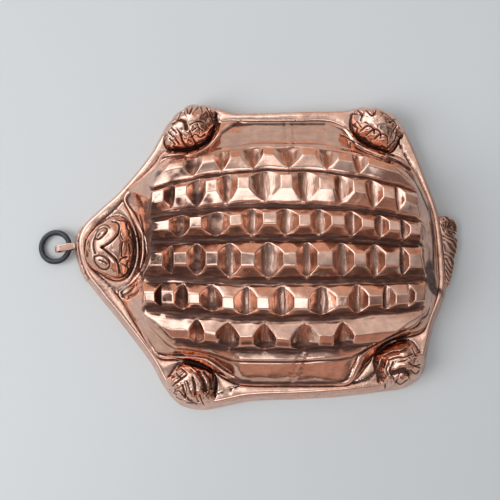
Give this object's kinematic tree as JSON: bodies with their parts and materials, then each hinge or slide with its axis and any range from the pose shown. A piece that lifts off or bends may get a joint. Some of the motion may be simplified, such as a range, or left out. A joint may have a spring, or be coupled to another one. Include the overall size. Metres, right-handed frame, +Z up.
{
  "type": "tortoise-shaped copper mould",
  "caption": "Hollow copper kitchen mould in the shape of a tortoise, with a studded domed back, head, feet and tail on a flared base, and an iron hanging ring.",
  "frame": {"origin": "middle of the bounding box on the table, with the rim on z = 0", "axes": "+Z up from the open rim to the back, -X towards the head and the ring, +X towards the tail, +Y to the tortoise's left"},
  "size_m": [0.326, 0.2392, 0.0729],
  "materials": {
    "polished_copper": "polished copper, darkened in the creases, tinned inside",
    "wall_copper": "worn polished copper",
    "iron": "dark oxidised wrought iron"
  },
  "bodies": {
    "mould": {"skirt": "wall_copper", "deck": "polished_copper", "carapace": "polished_copper", "head": "polished_copper", "front_left_foot": "polished_copper", "front_right_foot": "polished_copper", "rear_left_foot": "polished_copper", "rear_right_foot": "polished_copper", "tail": "polished_copper", "hanger_plate": "wall_copper", "hanger_loop": "wall_copper"},
    "ring": {"ring": "iron"}
  },
  "joints": [
    {"name": "ring_swing", "type": "hinge", "parent": "mould", "child": "ring", "pos_m": [-0.13842, 0.00507, 0.00645], "axis": [0, 1, 0], "range_deg": [0, 115]}
  ]
}
